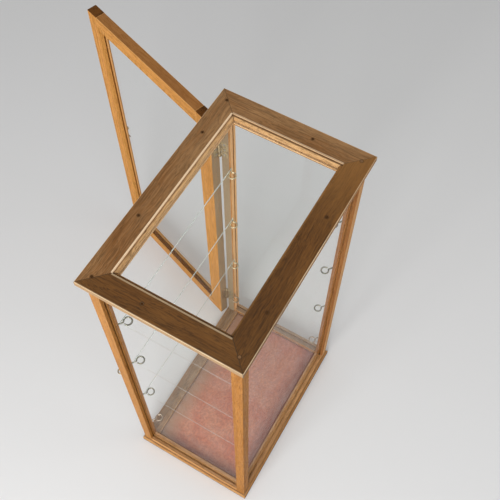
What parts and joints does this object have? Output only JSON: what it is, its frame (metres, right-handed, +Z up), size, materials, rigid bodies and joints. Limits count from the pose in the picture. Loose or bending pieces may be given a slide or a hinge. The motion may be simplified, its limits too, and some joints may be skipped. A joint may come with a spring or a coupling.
{
  "type": "display case",
  "caption": "Tall glazed oak table-top display case with a mitred moulded top, a hinged rear door with hook catch, a velvet floor and loose glass shelves on screw eyes.",
  "frame": {"origin": "centre of the base board's underside, where the case stands", "axes": "+X along the long side to the hinge end, +Y to the door side, +Z up"},
  "size_m": [0.4629, 0.5614, 0.732],
  "materials": {
    "top_oak": "waxed dark oak, open grain",
    "frame_oak": "waxed honey oak",
    "dark_pegs": "end grain, dark",
    "clear_glass": "clear, polished edges",
    "rose_velvet": "worn velvet",
    "aged_brass": "dull, aged",
    "eye_wire": "dark, tarnished",
    "screw_steel": "dull"
  },
  "bodies": {
    "case": {"base_board": "frame_oak", "base_screws": "screw_steel", "catch_eye": "aged_brass", "door_header": "frame_oak", "door_sill": "frame_oak", "front_pane": "clear_glass", "hinge_pin_lower": "aged_brass", "hinge_pin_upper": "aged_brass", "hinge_post_leaf_lower": "aged_brass", "hinge_post_leaf_upper": "aged_brass", "hinge_post_screws_lower": "aged_brass", "hinge_post_screws_upper": "aged_brass", "left_pane": "clear_glass", "lower_rail_front": "frame_oak", "lower_rail_left": "frame_oak", "lower_rail_right": "frame_oak", "post_back_left": "frame_oak", "post_back_right": "frame_oak", "post_front_left": "frame_oak", "post_front_right": "frame_oak", "right_pane": "clear_glass", "shelf_eyes_lower": "eye_wire", "shelf_eyes_middle": "eye_wire", "shelf_eyes_spare": "eye_wire", "shelf_eyes_top": "eye_wire", "top_glazing_beads": "frame_oak", "top_member_back": "top_oak", "top_member_front": "top_oak", "top_member_left": "top_oak", "top_member_right": "top_oak", "top_pane": "clear_glass", "top_pegs": "dark_pegs", "upper_rail_front": "frame_oak", "upper_rail_left": "frame_oak", "upper_rail_right": "frame_oak", "velvet_lining": "rose_velvet"},
    "door": {"catch_stud": "aged_brass", "door_bottom_rail": "frame_oak", "door_free_stile": "frame_oak", "door_glazing_beads": "frame_oak", "door_hinge_stile": "frame_oak", "door_pane": "clear_glass", "door_top_rail": "frame_oak", "hinge_door_leaf_lower": "aged_brass", "hinge_door_leaf_upper": "aged_brass", "hinge_door_screws_lower": "aged_brass", "hinge_door_screws_upper": "aged_brass"},
    "catch_hook": {"catch_hook": "aged_brass"},
    "shelf_lower": {"shelf_lower": "clear_glass"},
    "shelf_middle": {"shelf_middle": "clear_glass"},
    "shelf_top": {"shelf_top": "clear_glass"}
  },
  "joints": [
    {"name": "door_hinge", "type": "hinge", "parent": "case", "child": "door", "pos_m": [0.162, 0.1232, 0.366], "axis": [0, 0, -1], "range_deg": [-109, 65]},
    {"name": "catch_pivot", "type": "hinge", "parent": "door", "child": "catch_hook", "pos_m": [0.26877, 0.41853, 0.366], "axis": [0.9455, -0.3256, 0], "range_deg": [-90, 115]},
    {"name": "shelf_lower_lift", "type": "slide", "parent": "case", "child": "shelf_lower", "axis": [0, 0, 1], "range_m": [0, 0.13]},
    {"name": "shelf_middle_lift", "type": "slide", "parent": "case", "child": "shelf_middle", "axis": [0, 0, 1], "range_m": [0, 0.13]},
    {"name": "shelf_top_lift", "type": "slide", "parent": "case", "child": "shelf_top", "axis": [0, 0, 1], "range_m": [0, 0.13]}
  ]
}
